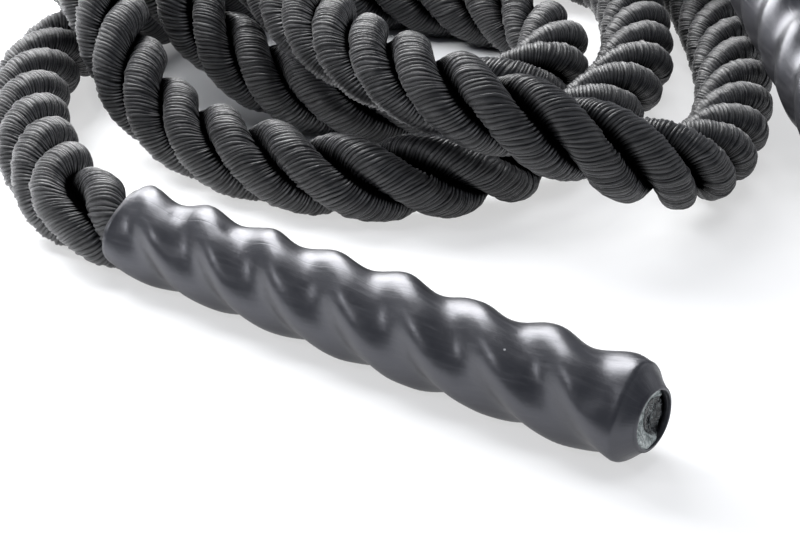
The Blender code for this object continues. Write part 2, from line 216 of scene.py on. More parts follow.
def smooth_curve(points):
    """A centripetal curve through the route's points, as closely spaced points."""
    ends = (2 * points[0] - points[1], 2 * points[-1] - points[-2])
    p = np.vstack([ends[0], points, ends[1]])
    t = np.concatenate([[0.0], np.cumsum(np.linalg.norm(np.diff(p, axis=0), axis=1) ** 0.5)])

    def between(a, b, i, j, s):
        return ((t[j] - s) * a + (s - t[i]) * b) / (t[j] - t[i])

    found = []
    for i in range(1, len(p) - 2):
        for s in np.linspace(t[i], t[i + 1], CURVE_STEPS, endpoint=False):
            a = between(p[i - 1], p[i], i - 1, i, s)
            b = between(p[i], p[i + 1], i, i + 1, s)
            c = between(p[i + 1], p[i + 2], i + 1, i + 2, s)
            d = between(a, b, i - 1, i + 1, s)
            e = between(b, c, i, i + 2, s)
            found.append(between(d, e, i, i + 1, s))
    found.append(points[-1])
    return np.array(found)


def handle_turn(heading, tilt):
    """How a handle lies: its own +X runs from its mouth to its free end."""
    return Euler((0.0, tilt, heading), "XYZ").to_matrix()


def unit(rows):
    """Each row at length one."""
    return rows / np.linalg.norm(rows, axis=-1, keepdims=True)


class RopeWay:
    """The rope's centre line at fine even steps, with a frame carried along it."""

    def __init__(self):
        front = np.array(handle_turn(FRONT_HEADING, FRONT_TILT) @ Vector((1.0, 0.0, 0.0)))
        rear = np.array(handle_turn(REAR_HEADING, REAR_TILT) @ Vector((1.0, 0.0, 0.0)))
        route = [np.array(point) for point in ROUTE]
        behind = route[0] - ROPE_DIAMETER * front
        before = route[-1] - ROPE_DIAMETER * rear
        line = smooth_curve(np.array([route[0], behind, *route[1:-1], before, route[-1]]))
        along = np.concatenate([[0.0], np.cumsum(np.linalg.norm(np.diff(line, axis=0), axis=1))])
        self.length = float(along[-1])
        reach = 4 * SMOOTH_REACH
        start = line[:1] + front * reach
        end = line[-1:] + rear * reach
        line = np.vstack([start, line, end])
        along = np.concatenate([[-reach], along, [self.length + reach]])
        self.s = np.arange(-reach, self.length + reach, FINE_STEP)
        points = np.stack([np.interp(self.s, along, axis) for axis in line.T], axis=-1)
        span = int(round(3 * SMOOTH_REACH / FINE_STEP))
        weights = np.exp(-0.5 * (np.arange(-span, span + 1) * FINE_STEP / SMOOTH_REACH) ** 2)
        weights /= weights.sum()
        padded = np.pad(points, ((span, span), (0, 0)), mode="reflect", reflect_type="odd")
        self.points = np.stack([np.convolve(axis, weights, "valid") for axis in padded.T], axis=-1)
        self.tangent = unit(np.gradient(self.points, axis=0))
        self.side = self.carried(np.array([0.0, 1.0, 0.0]))
        self.other = np.cross(self.tangent, self.side)

    def carried(self, side):
        """The side direction, carried along the way without turning round it."""
        found = np.zeros_like(self.tangent)
        side = side - self.tangent[0] * (side @ self.tangent[0])
        found[0] = side / np.linalg.norm(side)
        for k in range(1, len(found)):
            side = found[k - 1] - self.tangent[k] * (found[k - 1] @ self.tangent[k])
            found[k] = side / np.linalg.norm(side)
        return found

    def read(self, rows, places):
        """Any of the rows at these distances from the front mouth."""
        return np.stack([np.interp(places, self.s, axis) for axis in rows.T], axis=-1)

    def at(self, place):
        """The centre line's point at this distance."""
        return self.read(self.points, np.array([place]))[0]


def strand_turn(way):
    """How fast the strands turn, so that they meet the lobes of both sleeves."""
    turn = handle_turn(REAR_HEADING, REAR_TILT)
    y, z = (np.array(turn @ Vector(axis)) for axis in ((0.0, 1.0, 0.0), (0.0, 0.0, 1.0)))
    side = way.read(way.side, np.array([way.length]))[0]
    carried = math.atan2(side @ z, side @ y)
    third = 2.0 * math.pi / STRAND_COUNT
    wanted = REAR_PHASE + FRONT_PHASE - carried
    plain = 2.0 * math.pi * way.length / ROPE_LAY
    return (wanted + third * round((plain - wanted) / third)) / way.length


def mouth_press(way, s):
    """How much the rope is drawn together where it goes into a sleeve, by the distance along it."""
    near = np.minimum(np.maximum(s, 0.0), np.maximum(way.length - s, 0.0))
    return 1.0 - MOUTH_PRESS * np.exp(-((near / MOUTH_FADE) ** 2))


class YarnWork:
    """How uneven the yarns of each strand are: their size, their lumps and how they wander."""

    def __init__(self, seed):
        rng = np.random.default_rng(seed)
        yarns = (STRAND_COUNT, YARN_COUNT)
        self.swell = rng.uniform(60.0, 90.0, STRAND_COUNT)
        self.start = rng.uniform(0.0, 6.0, STRAND_COUNT)
        self.size = rng.normal(0.0, YARN_SPREAD, yarns)
        self.waves = [
            (rng.uniform(low, high, yarns), rng.uniform(0.0, 6.3, yarns), share)
            for low, high, share in ((250.0, 420.0, 0.9), (700.0, 1100.0, 0.8), (1500.0, 2300.0, 0.6))
        ]
        self.wander = (rng.uniform(300.0, 520.0, yarns), rng.uniform(0.0, 6.3, yarns))
        self.drift = [(rng.uniform(low, high, STRAND_COUNT), rng.uniform(0.0, 6.3, STRAND_COUNT))
                      for low, high in ((110.0, 170.0), (260.0, 420.0), (600.0, 900.0))]

    def radius(self, number, yarn, s):
        """How far the skin stands out or in at each ring and side."""
        found = self.size[number][yarn][None, :] + STRAND_SWELL * np.sin(
            self.swell[number] * s + self.start[number]
        )[:, None]
        for speed, start, share in self.waves:
            wave = np.sin(speed[number][yarn] * s[:, None] + start[number][yarn])
            found = found + YARN_LUMP * share * wave
        return found

    def turn(self, number, yarn, s):
        """How far each yarn wanders round the strand."""
        speed, start = self.wander
        found = YARN_WANDER * np.sin(speed[number][yarn] * s[:, None] + start[number][yarn])
        for speed, start in self.drift:
            found = found + YARN_DRIFT * 0.5 * np.sin(speed[number] * s + start[number])[:, None]
        return found


def strand_rows(way, turning, start, end, number, work):
    """Rings of one strand, how far along the strand each stands, and which way its points face."""
    count = max(2, int(round((end - start) / RING_STEP)))
    s = np.linspace(start, end, count + 1)
    middle = way.read(way.points, s)
    tangent = unit(way.read(way.tangent, s))
    side = unit(way.read(way.side, s))
    other = np.cross(tangent, side)
    angle = -FRONT_PHASE + turning * s + 2.0 * math.pi * number / STRAND_COUNT
    angle += MOUTH_TWIST * np.exp(-(((s - MOUTH_TWIST_PLACE) / MOUTH_TWIST_REACH) ** 2))
    out = np.cos(angle)[:, None] * side + np.sin(angle)[:, None] * other
    around = -np.sin(angle)[:, None] * side + np.cos(angle)[:, None] * other
    lean = math.atan(turning * STRAND_OFFSET)
    along = unit(math.cos(lean) * tangent + math.sin(lean) * around)
    across = np.cross(along, out)
    press = mouth_press(way, s)[:, None]
    centre = middle + STRAND_OFFSET * press * out
    length = s / math.cos(lean)
    sides = YARN_COUNT * YARN_SIDES
    k = np.arange(sides)
    yarn = k // YARN_SIDES
    face = 2.0 * math.pi * k[None, :] / sides - YARN_TURN * length[:, None]
    face = face + work.turn(number, yarn, s)
    ridge = np.where(k % YARN_SIDES == 0, -0.62, 0.38) * YARN_DEPTH
    uneven = ridge[None, :] + work.radius(number, yarn, s)
    facing = np.stack([np.cos(face), np.sin(face)], -1)
    depth = np.where(facing[..., 0] > 0.0, STRAND_DEPTH, STRAND_CORE)
    flat = np.sign(facing) * np.abs(facing) ** STRAND_FLATNESS
    outward = (depth + uneven) * press * flat[..., 0]
    sideways = (STRAND_BREADTH + uneven) * press * flat[..., 1]
    points = centre[:, None, :] + outward[..., None] * out[:, None, :]
    points = points + sideways[..., None] * across[:, None, :]
    return points, length, 0.5 + 0.5 * facing


def rope_piece(name, way, turning, start, end, look):
    """A stretch of rope: three strands, with an edge along every yarn.

    Its UV map "yarn" holds the place along the strand and the yarn's number, and its map
    "outer" which way the strand's skin faces: out from the rope's middle, and sideways.
    """
    work = YarnWork(7)
    corners, faces, marks, opens = [], [], [], []
    base = 0
    for number in range(STRAND_COUNT):
        points, length, facing = strand_rows(way, turning, start, end, number, work)
        rings, sides = points.shape[:2]
        corners.append(points.reshape(-1, 3))
        j, k = np.meshgrid(np.arange(rings - 1), np.arange(sides), indexing="ij")
        n = (k + 1) % sides
        quads = np.stack([j * sides + k, j * sides + n, (j + 1) * sides + n, (j + 1) * sides + k], -1)
        faces.append(quads.reshape(-1, 4) + base)
        u = np.stack([length[j], length[j], length[j + 1], length[j + 1]], -1)
        v = np.stack([k, k + 1, k + 1, k], -1) / YARN_SIDES + number * YARN_COUNT
        marks.append(np.stack([u, v], -1).reshape(-1, 2))
        shown = np.stack([facing[j, k], facing[j, n], facing[j + 1, n], facing[j + 1, k]], -2)
        opens.append(shown.reshape(-1, 2))
        base += rings * sides
    marks = {"yarn": np.vstack(marks), "outer": np.vstack(opens)}
    return woven_mesh(name, np.vstack(corners), np.vstack(faces), marks, look)


def woven_mesh(name, corners, faces, marks, look):
    """A mesh of quads with its UV maps: each row is a corner of a face, in the faces' order."""
    data = bpy.data.meshes.new(name)
    data.vertices.add(len(corners))
    data.vertices.foreach_set("co", corners.astype(np.float32).ravel())
    data.loops.add(faces.size)
    data.loops.foreach_set("vertex_index", faces.astype(np.int32).ravel())
    data.polygons.add(len(faces))
    data.polygons.foreach_set("loop_start", np.arange(0, faces.size, 4, dtype=np.int32))
    data.update(calc_edges=True)
    data.validate()
    for title, values in marks.items():
        layer = data.uv_layers.new(name=title)
        layer.uv.foreach_set("vector", values.astype(np.float32).ravel())
    data.shade_smooth()
    data.materials.append(look)
    made = bpy.data.objects.new(name, data)
    bpy.context.scene.collection.objects.link(made)
    return made


def lay_rope(look):
    """All the stretches of the rope: the two necks, the two leads and the loops."""
    way = RopeWay()
    turning = strand_turn(way)
    end = way.length
    front_neck, rear_neck = NECK_LENGTH, end - NECK_LENGTH
    marks = np.linspace(front_neck + LEAD_REACH, rear_neck - LEAD_REACH, LOOP_PIECES + 1)
    necks = {
        "front_lead_rope": rope_piece("front_neck_rope", way, turning, -MOUTH_REACH, front_neck, look),
        "rear_lead_rope": rope_piece("rear_neck_rope", way, turning, rear_neck, end + MOUTH_REACH, look),
    }
    for neck, node in zip(necks.values(), ("front_neck", "rear_neck")):
        bend_piece(neck, way)
        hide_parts(node)
    stretches = [
        ("front_lead_rope", front_neck, marks[0], ["front_lead"]),
        ("rear_lead_rope", marks[-1], rear_neck, ["rear_lead"]),
    ]
    for k in range(LOOP_PIECES):
        nodes = ["rope_loops"] if k == 0 else []
        stretches.append(("loop_rope_{}".format(k + 1), marks[k], marks[k + 1], nodes))
    for name, start, stop, nodes in stretches:
        piece = rope_piece(name, way, turning, start, stop, look)
        bend_piece(piece, way)
        if nodes:
            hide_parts(*nodes)


def bend_piece(piece, way):
    """Hang a loop stretch on the rope's body; a neck or a lead has its place baked into its mesh."""
    end = way.length
    bends = {
        "front_neck_rope": ("front_rope_neck", "front_handle", NECK_LENGTH, 0.0),
        "front_lead_rope": ("rope", "front_rope_neck", NECK_LENGTH + BEND_REACH, NECK_LENGTH),
        "rear_lead_rope": ("rope", "rear_rope_neck", end - NECK_LENGTH - BEND_REACH, end - NECK_LENGTH),
        "rear_neck_rope": ("rear_rope_neck", "rear_handle", end - NECK_LENGTH, end),
    }
    if piece.name not in bends:
        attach(piece, "rope")
        return
    first, second, start, stop = bends[piece.name]
    tuple(way.at(start))
    tuple(way.at(stop))
    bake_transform(piece)


# ---------------------------------------------------------------- sleeves

def pick(piece, test):
    """Select the vertices of the piece being edited that pass the test."""
    shape = bmesh.from_edit_mesh(piece.data)
    for vertex in shape.verts:
        vertex.select_set(bool(test(vertex.co)))
    shape.select_flush_mode()
    bmesh.update_edit_mesh(piece.data)


def deselect():
    """Nothing selected and nothing edited."""
    if bpy.context.mode != "OBJECT":
        bpy.ops.object.mode_set(mode="OBJECT")
    bpy.ops.object.select_all(action="DESELECT")


def place_by_mesh(piece, matrix):
    """Put the piece's place into its mesh and leave its object at the origin."""
    piece.data.transform(matrix)
    piece.matrix_world = Matrix.Identity(4)
    piece.data.update()


def sleeve_outline(sides):
    """A ring shaped like the sleeve's section, with a lobe over each strand."""
    deselect()
    bpy.ops.mesh.primitive_circle_add(
        vertices=sides,
        radius=SLEEVE_RADIUS,
        location=(0.0, 0.0, 0.0),
        rotation=(0.0, math.pi / 2, 0.0),
    )
    piece = bpy.context.object
    bpy.ops.object.transform_apply(location=True, rotation=True, scale=True)
    bpy.ops.object.mode_set(mode="EDIT")
    classes = sides // (2 * STRAND_COUNT)
    for k in range(classes + 1):
        turned = k / classes
        radius = SLEEVE_RADIUS + LOBE_HEIGHT * math.cos(math.pi * turned)
        pick(piece, lambda co: abs(lobe_share(co) - turned) < 0.5 / classes)
        scale = radius / SLEEVE_RADIUS
        bpy.ops.transform.resize(value=(1.0, scale, scale), center_override=(0.0, 0.0, 0.0))
    bpy.ops.object.mode_set(mode="OBJECT")
    return piece


def lobe_share(co):
    """How far a point stands from the nearest lobe's crest: 0 on it, 1 in the valley."""
    angle = math.atan2(co.z, co.y) * STRAND_COUNT
    return abs(math.remainder(angle, 2.0 * math.pi)) / math.pi


def sleeve_skin(name, phase, matrix, seed, look):
    """The shrunk sleeve: a lobed ring drawn out with the rope's twist, then curled in."""
    piece = sleeve_outline(SLEEVE_SIDES)
    body = SLEEVE_LENGTH - CURL_LENGTH
    screw = piece.modifiers.new("draw", "SCREW")
    screw.axis = "X"
    screw.angle = 2.0 * math.pi * body / ROPE_LAY
    screw.screw_offset = body
    screw.steps = screw.render_steps = SLEEVE_STEPS
    screw.use_merge_vertices = False
    screw.use_normal_calculate = True
    bpy.ops.object.modifier_apply(modifier=screw.name)
    curl_end(piece, body)
    rag_mouth(piece)
    bpy.ops.object.mode_set(mode="EDIT")
    bpy.ops.mesh.select_all(action="SELECT")
    bpy.ops.mesh.remove_doubles(threshold=0.00001)
    bpy.ops.mesh.normals_make_consistent(inside=False)
    bpy.ops.object.mode_set(mode="OBJECT")
    wall = piece.modifiers.new("wall", "SOLIDIFY")
    wall.thickness = SLEEVE_WALL
    wall.offset = -1.0
    bpy.ops.object.modifier_apply(modifier=wall.name)
    bpy.ops.object.shade_smooth()
    piece.name = piece.data.name = name
    piece.data.materials.clear()
    piece.data.materials.append(look)
    piece.data.transform(Matrix.Rotation(phase, 4, "X"))
    mark_sleeve(piece)
    wear_sleeve(piece, seed)
    place_by_mesh(piece, matrix)
    return piece


def wear_sleeve(piece, seed):
    """The unevenness of a sleeve shrunk by hand: soft waves all over and a few small dents."""
    shift = Vector((seed * 0.37, seed * 0.91, seed * 0.53))
    for vertex in piece.data.vertices:
        co = vertex.co
        radius = math.hypot(co.y, co.z)
        angle = math.atan2(co.z, co.y)
        wide = noise.noise(co * 48.0 + shift) * 0.00075 + noise.noise(co * 120.0 + shift) * 0.00026
        for place, turn, length, width, depth in SLEEVE_DENTS:
            away = ((co.x - place) / length) ** 2
            away += (math.remainder(angle - math.radians(turn), 2.0 * math.pi) * radius / width) ** 2
            if away < 9.0:
                wide -= depth * math.exp(-away)
        fade = min(1.0, max(0.0, (SLEEVE_LENGTH - co.x) / 0.008))
        wide *= fade
        co.y *= 1.0 + wide / radius
        co.z *= 1.0 + wide / radius
        co.x += MOUTH_DRAWN * math.exp(-max(co.x, 0.0) / MOUTH_DRAWN_REACH)
    piece.data.update()


def mark_sleeve(piece):
    """A UV map on the sleeve: metres from the mouth, and turns round the axis."""
    data = piece.data
    layer = data.uv_layers.new(name="sheet")
    for face in data.polygons:
        middle = math.atan2(face.center.z, face.center.y)
        for index in face.loop_indices:
            co = data.vertices[data.loops[index].vertex_index].co
            turned = middle + math.remainder(math.atan2(co.z, co.y) - middle, 2.0 * math.pi)
            layer.uv[index].vector = (co.x, turned / (2.0 * math.pi))


def curl_end(piece, body):
    """Draw the free end on and in: a rounded shoulder, a cone, a rim and the hole's wall."""
    profile = (
        (0.0009, 0.995, 0.95), (0.0005, 0.975, 0.88), (0.0003, 0.945, 0.80), (0.0004, 0.90, 0.70),
        (0.0008, 0.835, 0.55), (0.0009, 0.775, 0.38), (0.0008, 0.72, 0.22), (0.0006, 0.675, 0.10),
        (0.0004, 0.645, 0.05), (0.00025, 0.622, 0.02), (0.00005, 0.605, 0.0), (-0.0003, 0.598, 0.0),
        (-0.0008, 0.597, 0.0), (-0.0012, 0.600, 0.0),
    )
    bpy.ops.object.mode_set(mode="EDIT")
    bpy.ops.mesh.select_mode(type="VERT")
    pick(piece, lambda co: co.x > body - 0.00005)
    for step, share, lobe in profile:
        bpy.ops.mesh.extrude_edges_move(TRANSFORM_OT_translate={"value": (step, 0.0, 0.0)})
        round_ring(piece, SLEEVE_RADIUS * share, LOBE_HEIGHT * lobe, body)
    bpy.ops.object.mode_set(mode="OBJECT")


def round_ring(piece, radius, lobe, body):
    """Bring the selected ring to this radius, with this much of the lobes left."""
    shape = bmesh.from_edit_mesh(piece.data)
    turned = 2.0 * math.pi * body / ROPE_LAY
    for vertex in shape.verts:
        if vertex.select:
            angle = math.atan2(vertex.co.z, vertex.co.y)
            r = radius + lobe * math.cos(STRAND_COUNT * (angle - turned))
            vertex.co.y, vertex.co.z = r * math.cos(angle), r * math.sin(angle)
    bmesh.update_edit_mesh(piece.data)


def rag_mouth(piece):
    """The cut mouth: a slightly wavy edge, a little flared."""
    bpy.ops.object.mode_set(mode="EDIT")
    shape = bmesh.from_edit_mesh(piece.data)
    rng = np.random.default_rng(3)
    waves = [(rng.uniform(0.0, 6.3), n, 0.00045 / n ** 0.6) for n in (1, 2, 3, 5, 8, 13)]
    for vertex in shape.verts:
        if vertex.co.x < MOUTH_RAG_REACH:
            near = 1.0 - vertex.co.x / MOUTH_RAG_REACH
            angle = math.atan2(vertex.co.z, vertex.co.y)
            wave = sum(size * math.sin(n * angle + start) for start, n, size in waves)
            vertex.co.x -= near * wave * 0.8
            flare = 1.0 + 0.018 * near * near
            vertex.co.y *= flare
            vertex.co.z *= flare
    bmesh.update_edit_mesh(piece.data)
    bpy.ops.object.mode_set(mode="OBJECT")


def glue_plug(name, matrix, seed, look):
    """The glue run into the cut end: a lumpy disc, hollowed where the cut rope shows."""
    deselect()
    radius = CURL_HOLE_RADIUS + 0.0004
    front = SLEEVE_LENGTH - SEAL_RECESS + GLUE_RISE
    bpy.ops.mesh.primitive_cylinder_add(
        vertices=GLUE_SIDES,
        radius=radius,
        depth=GLUE_DEPTH,
        end_fill_type="NGON",
        location=(front - GLUE_DEPTH / 2, 0.0, 0.0),
        rotation=(0.0, math.pi / 2, 0.0),
    )
    piece = bpy.context.object
    bpy.ops.object.transform_apply(location=True, rotation=True, scale=True)
    bpy.ops.object.mode_set(mode="EDIT")
    bpy.ops.mesh.select_mode(type="FACE")
    shape = bmesh.from_edit_mesh(piece.data)
    for face in shape.faces:
        face.select_set(face.normal.x > 0.9)
    bmesh.update_edit_mesh(piece.data)
    for inset, lift in ((0.0006, 0.0004), (0.0007, 0.0002), (0.0008, -0.0003), (0.0009, -0.0004),
                        (0.0012, -0.0002), (0.0013, 0.0), (0.0013, 0.0)):
        bpy.ops.mesh.inset(thickness=inset, depth=lift)
    bpy.ops.mesh.poke()
    bpy.ops.mesh.select_all(action="SELECT")
    bpy.ops.mesh.normals_make_consistent(inside=False)
    bpy.ops.object.mode_set(mode="OBJECT")
    finer = piece.modifiers.new("finer", "SUBSURF")
    finer.levels = finer.render_levels = 1
    bpy.ops.object.modifier_apply(modifier=finer.name)
    rng = np.random.default_rng(seed)
    lumps = [
        (rng.uniform(-0.008, 0.008, 2), rng.uniform(0.0006, 0.0018), rng.normal(0.0, 0.00032))
        for _ in range(GLUE_LUMPS)
    ]
    for vertex in piece.data.vertices:
        if vertex.co.x > front - 0.0022:
            for (y, z), size, height in lumps:
                away = ((vertex.co.y - y) ** 2 + (vertex.co.z - z) ** 2) / size ** 2
                vertex.co.x += height * math.exp(-away)
            low = -(vertex.co.z * 0.75 + vertex.co.y * 0.66) / radius
            vertex.co.x += 0.0016 * low if low > 0.0 else 0.0006 * low
            y, z = vertex.co.y / radius - DISC_PLACE[0], vertex.co.z / radius - DISC_PLACE[1]
            inside = math.hypot(y, z)
            vertex.co.x -= DISC_DEPTH / (1.0 + math.exp((inside - DISC_RADIUS) * 28.0))
    bpy.ops.object.shade_smooth()
    layer = piece.data.uv_layers.new(name="disc")
    for loop in piece.data.loops:
        co = piece.data.vertices[loop.vertex_index].co
        layer.uv[loop.index].vector = (co.y / radius, co.z / radius)
    piece.data.uv_layers.active = layer
    piece.name = piece.data.name = name
    piece.data.materials.clear()
    piece.data.materials.append(look)
    place_by_mesh(piece, matrix)
    return piece


def dress_handle(side, way_end, heading, tilt, phase, seed, looks):
    """The sleeve and glue of one handle, on its body, and a finish on the strands inside."""
    matrix = Matrix.Translation(way_end) @ handle_turn(heading, tilt).to_4x4()
    body = side + "_handle"
    skin = sleeve_skin(side + "_sleeve_skin", phase, matrix, seed, looks["sleeve"])
    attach(skin, body)
    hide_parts(side + "_sleeve")
    plug = glue_plug(side + "_glue_plug", matrix, seed, looks["glue"])
    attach(plug, body)
    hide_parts(side + "_end_seal")
    for number in range(STRAND_COUNT):
        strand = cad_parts["{}_strand_{}".format(side, number + 1)]
        strand.data.materials.clear()
        strand.data.materials.append(looks["inside"])


# ---------------------------------------------------------------- finishes

class Finish:
    """A material with its shader, and short ways to add what drives it."""

    def __init__(self, name):
        self.made = bpy.data.materials.new(name)
        self.made.use_nodes = True
        self.tree = self.made.node_tree
        self.shader = self.tree.nodes["Principled BSDF"]

    def add(self, kind, **values):
        """A node with these settings; a value may be another node's socket."""
        node = self.tree.nodes.new(kind)
        for key, value in values.items():
            if key in node.inputs.keys() or key.replace("_", " ") in node.inputs.keys():
                key = key if key in node.inputs.keys() else key.replace("_", " ")
                self.join(value, node.inputs[key])
            else:
                setattr(node, key, value)
        return node

    def join(self, value, socket):
        """Set a socket, or link it when the value is a socket."""
        if isinstance(value, bpy.types.NodeSocket):
            self.tree.links.new(value, socket)
        else:
            socket.default_value = value

    def maths(self, operation, first, second=0.0, third=0.0):
        """One sum."""
        node = self.tree.nodes.new("ShaderNodeMath")
        node.operation = operation
        for value, socket in zip((first, second, third), node.inputs):
            self.join(value, socket)
        return node.outputs[0]

    def ramp(self, value, stops):
        """Colours or greys by value."""
        node = self.tree.nodes.new("ShaderNodeValToRGB")
        self.join(value, node.inputs[0])
        ramp = node.color_ramp
        while len(ramp.elements) < len(stops):
            ramp.elements.new(1.0)
        for element, (place, colour) in zip(ramp.elements, stops):
            element.position = place
            shade = colour if isinstance(colour, tuple) else (colour, colour, colour)
            element.color = (*shade, 1.0)
        return node.outputs[0]

    def noise(self, vector, scale, detail=2.0, roughness=0.5):
        """Soft random greys."""
        node = self.tree.nodes.new("ShaderNodeTexNoise")
        self.join(vector, node.inputs["Vector"])
        node.inputs["Scale"].default_value = scale
        node.inputs["Detail"].default_value = detail
        node.inputs["Roughness"].default_value = roughness
        return node.outputs["Fac"]

    def bump(self, height, strength, distance, normal=None):
        """Relief in the surface."""
        node = self.tree.nodes.new("ShaderNodeBump")
        node.inputs["Strength"].default_value = strength
        node.inputs["Distance"].default_value = distance
        self.join(height, node.inputs["Height"])
        if normal is not None:
            self.join(normal, node.inputs["Normal"])
        return node.outputs["Normal"]

    def place(self):
        """The piece's own places."""
        return self.tree.nodes.new("ShaderNodeTexCoord").outputs["Object"]

    def pair(self, name):
        """The two numbers of a UV map."""
        marks = self.add("ShaderNodeUVMap", uv_map=name)
        split = self.tree.nodes.new("ShaderNodeSeparateXYZ")
        self.join(marks.outputs["UV"], split.inputs[0])
        return split.outputs[0], split.outputs[1]

    def spread(self, first, first_scale, second, second_scale):
        """A place made of two numbers, each with a scale of its own."""
        joined = self.tree.nodes.new("ShaderNodeCombineXYZ")
        self.join(self.maths("MULTIPLY", first, first_scale), joined.inputs[0])
        self.join(self.maths("MULTIPLY", second, second_scale), joined.inputs[1])
        return joined.outputs[0]

    def mix(self, share, under, over):
        """One colour over another, by the share of the second."""
        node = self.add("ShaderNodeMix", data_type="RGBA")
        for value, index in ((share, 0), (under, 6), (over, 7)):
            self.join(value, node.inputs[index])
        return node.outputs[2]

    def set(self, name, value):
        """Set or link one of the shader's sockets."""
        self.join(value, self.shader.inputs[name])


def yarn_finish():
    """Black twisted yarn: fibres along each yarn, painted shade in its grooves and between the strands,
    and pale painted glints on one flank.
    """
    finish = Finish("black_yarn")
    along, yarn = finish.pair("yarn")
    outward, sideways = finish.pair("outer")
    within = finish.maths("FRACT", yarn)
    crest = finish.maths("SINE", finish.maths("MULTIPLY", within, math.pi))
    number = finish.maths("FLOOR", yarn)
    fibres = finish.noise(finish.spread(along, 520.0, yarn, 5.0), 1.0, 4.0, 0.65)
    patches = finish.noise(finish.spread(along, 150.0, number, 3.7), 1.0, 3.0, 0.6)
    # Painted shade: the colour, gloss and sheen fade to black on each strand's inward side, where the
    # gaps between the strands lie in shade.
    shown = finish.ramp(outward, ((0.38, 0.0), (0.50, 0.36), (0.68, 1.0)))
    # Painted shade: the grooves between the yarns are darkened in the colour, more in some patches than
    # in others.
    hollow = finish.maths("SUBTRACT", 1.0, crest)
    uneven = finish.maths("MULTIPLY", hollow, finish.ramp(patches, ((0.35, 0.35), (0.7, 0.95))))
    soft = finish.maths("SUBTRACT", 1.0, uneven)
    tone = finish.maths("MULTIPLY", soft, finish.maths("ADD", fibres, 0.20))
    tone = finish.maths("MULTIPLY", tone, finish.maths("ADD", patches, 0.45))
    tone = finish.maths("MULTIPLY", tone, shown)
    blacks = (0.0006, 0.0006, 0.0007), (0.006, 0.006, 0.0065), (0.032, 0.032, 0.034)
    colour = finish.ramp(tone, tuple(zip((0.0, 0.35, 0.9), blacks)))
    # Painted highlight: pale glints on the yarn crests along one flank of each strand, where the light
    # catches them.
    painted_glints = finish.ramp(outward, ((0.42, 0.0), (0.50, 1.0), (0.60, 0.8), (0.70, 0.0)))
    painted_glints = finish.maths("MULTIPLY", painted_glints, finish.maths("POWER", crest, 3.0))
    painted_glints = finish.maths("MULTIPLY", painted_glints, finish.ramp(fibres, ((0.40, 0.0), (0.62, 1.0))))
    painted_glints = finish.maths("MULTIPLY", painted_glints, finish.ramp(sideways, ((0.42, 0.0), (0.56, 1.0))))
    finish.set("Base Color", finish.mix(painted_glints, colour, (0.28, 0.28, 0.285, 1.0)))
    finish.set("Roughness", finish.ramp(patches, ((0.25, 0.50), (0.75, 0.28))))
    finish.set("Specular IOR Level", finish.ramp(tone, ((0.10, 0.0), (0.70, 0.85))))
    finish.set("IOR", 1.6)
    lay = finish.add("ShaderNodeTangent", direction_type="UV_MAP", uv_map="yarn")
    finish.set("Tangent", lay.outputs["Tangent"])
    finish.set("Anisotropic", 0.7)
    finish.set("Anisotropic Rotation", 0.25)
    finish.set("Sheen Weight", finish.maths("MULTIPLY", shown, 0.24))
    finish.set("Sheen Roughness", 0.28)
    rounds, hairs = finish.maths("MULTIPLY", crest, 0.4), finish.maths("MULTIPLY", fibres, 1.2)
    finish.set("Normal", finish.bump(finish.maths("ADD", rounds, hairs), 0.85, 0.00034))
    return finish.made


def inside_finish():
    """The yarn pressed under the sleeve, read by place."""
    finish = Finish("pressed_yarn")
    fibres = finish.noise(finish.place(), 900.0, 4.0, 0.6)
    blacks = ((0.3, (0.008, 0.008, 0.009)), (0.7, (0.035, 0.035, 0.038)))
    finish.set("Base Color", finish.ramp(fibres, blacks))
    finish.set("Roughness", 0.7)
    finish.set("Normal", finish.bump(fibres, 0.7, 0.0003))
    return finish.made


